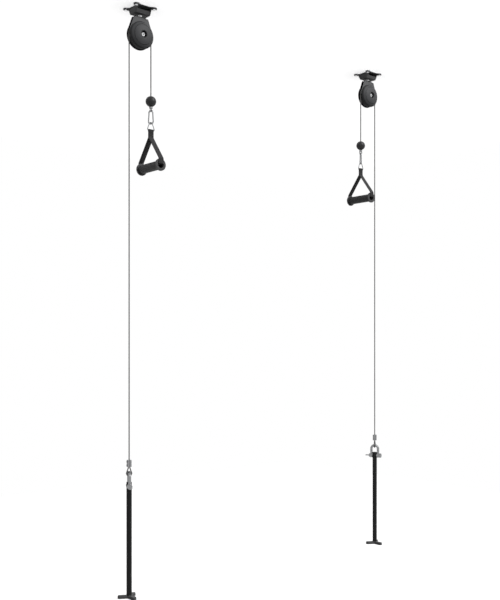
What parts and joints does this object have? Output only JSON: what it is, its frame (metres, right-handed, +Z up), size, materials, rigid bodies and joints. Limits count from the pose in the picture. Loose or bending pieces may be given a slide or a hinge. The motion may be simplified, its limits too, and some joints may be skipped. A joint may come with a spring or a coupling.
{
  "type": "ceiling pulley station pair",
  "caption": "Ceiling-hung cable pulley stations for strength training, with swivelling pulley blocks, stirrup handles and plate loading posts.",
  "frame": {"origin": "on the ceiling, midway between the stations' swivel axes", "axes": "+Z up, +X towards the right station, +Y along the wheel axles, away from the axle bolts' heads"},
  "size_m": [1.557, 0.1516, 2.4],
  "materials": {
    "bracket": "satin black powder coat",
    "zinc": "bright zinc plate",
    "yoke": "satin black",
    "cheek": "satin dark grey",
    "cover": "fine-grained dark plastic",
    "wheel": "machined nylon",
    "cable": "stranded steel in a clear sheath",
    "ball": "moulded rubber",
    "webbing": "woven nylon",
    "grip": "moulded plastic",
    "sleeve": "soft matt foam rubber",
    "post": "satin black powder coat"
  },
  "bodies": {
    "ceiling_mount": {"left_ceiling_bracket": "bracket", "right_ceiling_bracket": "bracket"},
    "left_block": {"left_swivel_bolt": "zinc", "left_swivel_nut": "zinc", "left_block_yoke": "yoke", "left_front_cheek": "cheek", "left_rear_cheek": "cheek", "left_front_cover": "cover", "left_rear_cover": "cover", "left_axle_bolt": "zinc", "left_axle_nut": "zinc", "left_wheel_bearing": "zinc", "left_cable_over_wheel": "cable", "left_cable_handle_run": "cable", "left_cable_pin_run": "cable"},
    "left_wheel": {"left_pulley_wheel": "wheel"},
    "left_cable_stop": {"left_stop_ball": "ball", "left_ball_eye": "zinc"},
    "left_carabiner": {"left_carabiner_body": "zinc"},
    "left_gate": {"left_carabiner_gate": "zinc"},
    "left_ring": {"left_triangle_ring": "zinc"},
    "left_strap": {"left_webbing_strap": "webbing"},
    "left_grip": {"left_grip_tube": "grip", "left_grip_sleeve": "sleeve"},
    "left_pin_line": {"left_cable_clamp": "zinc", "left_cable_eye": "cable", "left_thimble": "zinc"},
    "left_shackle": {"left_shackle_bow": "zinc", "left_shackle_pin": "zinc"},
    "left_post": {"left_loading_post": "post", "left_foot_star": "post"},
    "right_block": {"right_swivel_bolt": "zinc", "right_swivel_nut": "zinc", "right_block_yoke": "yoke", "right_front_cheek": "cheek", "right_rear_cheek": "cheek", "right_front_cover": "cover", "right_rear_cover": "cover", "right_axle_bolt": "zinc", "right_axle_nut": "zinc", "right_wheel_bearing": "zinc", "right_cable_over_wheel": "cable", "right_cable_handle_run": "cable", "right_cable_pin_run": "cable"},
    "right_wheel": {"right_pulley_wheel": "wheel"},
    "right_cable_stop": {"right_stop_ball": "ball", "right_ball_eye": "zinc"},
    "right_carabiner": {"right_carabiner_body": "zinc"},
    "right_gate": {"right_carabiner_gate": "zinc"},
    "right_ring": {"right_triangle_ring": "zinc"},
    "right_strap": {"right_webbing_strap": "webbing"},
    "right_grip": {"right_grip_tube": "grip", "right_grip_sleeve": "sleeve"},
    "right_pin_line": {"right_cable_clamp": "zinc", "right_cable_eye": "cable", "right_thimble": "zinc"},
    "right_shackle": {"right_shackle_bow": "zinc", "right_shackle_pin": "zinc"},
    "right_post": {"right_loading_post": "post", "right_foot_star": "post"}
  },
  "joints": [
    {"name": "left_block_swivel", "type": "hinge", "parent": "ceiling_mount", "child": "left_block", "pos_m": [-0.685, 0, -0.03], "axis": [0, 0, 1], "range_deg": [-45, 45]},
    {"name": "left_pin_lift", "type": "slide", "parent": "left_block", "child": "left_pin_line", "axis": [0, 0, 1], "range_m": [0, 1.4], "deforming": ["left_cable_pin_run"]},
    {"name": "left_handle_pull", "type": "slide", "parent": "left_block", "child": "left_cable_stop", "axis": [0, 0, -1], "range_m": [0, 1.4], "deforming": ["left_cable_handle_run"]},
    {"name": "left_wheel_spin", "type": "hinge", "parent": "left_block", "child": "left_wheel", "pos_m": [-0.685, 0, -0.113], "axis": [0, 1, 0], "range_deg": [0, 1528.88]},
    {"name": "left_carabiner_tilt", "type": "hinge", "parent": "left_cable_stop", "child": "left_carabiner", "pos_m": [-0.6325, 0, -0.40872], "axis": [-0.5, 0.866, 0], "range_deg": [-45, 45]},
    {"name": "left_gate_open", "type": "hinge", "parent": "left_carabiner", "child": "left_gate", "pos_m": [-0.6379, 0.00935, -0.45011], "axis": [0.866, 0.5, 0], "range_deg": [0, 20], "stiffness_Nm_per_rad": 0.02, "springref_deg": -11.46},
    {"name": "left_ring_swing", "type": "hinge", "parent": "left_carabiner", "child": "left_ring", "pos_m": [-0.6325, 0, -0.46402], "axis": [-0.5, 0.866, 0], "range_deg": [-35, 35]},
    {"name": "left_strap_swing", "type": "hinge", "parent": "left_ring", "child": "left_strap", "pos_m": [-0.6325, 0, -0.49122], "axis": [1, 0, 0], "range_deg": [-60, 60]},
    {"name": "left_grip_roll", "type": "hinge", "parent": "left_strap", "child": "left_grip", "pos_m": [-0.6325, 0, -0.64302], "axis": [0, 1, 0], "continuous": true},
    {"name": "left_shackle_tilt", "type": "hinge", "parent": "left_pin_line", "child": "left_shackle", "pos_m": [-0.7375, 0, -1.8955], "axis": [0.4226, 0.9063, 0], "range_deg": [-25, 25]},
    {"name": "left_post_swing", "type": "hinge", "parent": "left_shackle", "child": "left_post", "pos_m": [-0.7375, 0, -1.947], "axis": [0.4226, 0.9063, 0], "range_deg": [-25, 25]},
    {"name": "right_block_swivel", "type": "hinge", "parent": "ceiling_mount", "child": "right_block", "pos_m": [0.685, 0, -0.03], "axis": [0, 0, 1], "range_deg": [-45, 45]},
    {"name": "right_pin_lift", "type": "slide", "parent": "right_block", "child": "right_pin_line", "axis": [0, 0, 1], "range_m": [0, 1.4], "deforming": ["right_cable_pin_run"]},
    {"name": "right_handle_pull", "type": "slide", "parent": "right_block", "child": "right_cable_stop", "axis": [0, 0, -1], "range_m": [0, 1.4], "deforming": ["right_cable_handle_run"]},
    {"name": "right_wheel_spin", "type": "hinge", "parent": "right_block", "child": "right_wheel", "pos_m": [0.685, 0, -0.113], "axis": [0, -1, 0], "range_deg": [0, 1528.88]},
    {"name": "right_carabiner_tilt", "type": "hinge", "parent": "right_cable_stop", "child": "right_carabiner", "pos_m": [0.6325, 0, -0.40872], "axis": [0.5, 0.866, 0], "range_deg": [-45, 45]},
    {"name": "right_gate_open", "type": "hinge", "parent": "right_carabiner", "child": "right_gate", "pos_m": [0.6379, 0.00935, -0.45011], "axis": [0.866, -0.5, 0], "range_deg": [0, 20], "stiffness_Nm_per_rad": 0.02, "springref_deg": -11.46},
    {"name": "right_ring_swing", "type": "hinge", "parent": "right_carabiner", "child": "right_ring", "pos_m": [0.6325, 0, -0.46402], "axis": [0.5, 0.866, 0], "range_deg": [-35, 35]},
    {"name": "right_strap_swing", "type": "hinge", "parent": "right_ring", "child": "right_strap", "pos_m": [0.6325, 0, -0.49122], "axis": [1, 0, 0], "range_deg": [-60, 60]},
    {"name": "right_grip_roll", "type": "hinge", "parent": "right_strap", "child": "right_grip", "pos_m": [0.6325, 0, -0.64302], "axis": [0, 1, 0], "continuous": true},
    {"name": "right_shackle_tilt", "type": "hinge", "parent": "right_pin_line", "child": "right_shackle", "pos_m": [0.7375, 0, -1.8955], "axis": [-0.4226, 0.9063, 0], "range_deg": [-25, 25]},
    {"name": "right_post_swing", "type": "hinge", "parent": "right_shackle", "child": "right_post", "pos_m": [0.7375, 0, -1.947], "axis": [-0.4226, 0.9063, 0], "range_deg": [-25, 25]}
  ],
  "couplings": [
    {"joint": "left_handle_pull", "follows": "left_pin_lift", "ratio": 1},
    {"joint": "left_wheel_spin", "follows": "left_pin_lift", "rad_per_m": 19.048},
    {"joint": "right_handle_pull", "follows": "right_pin_lift", "ratio": 1},
    {"joint": "right_wheel_spin", "follows": "right_pin_lift", "rad_per_m": 19.048}
  ]
}
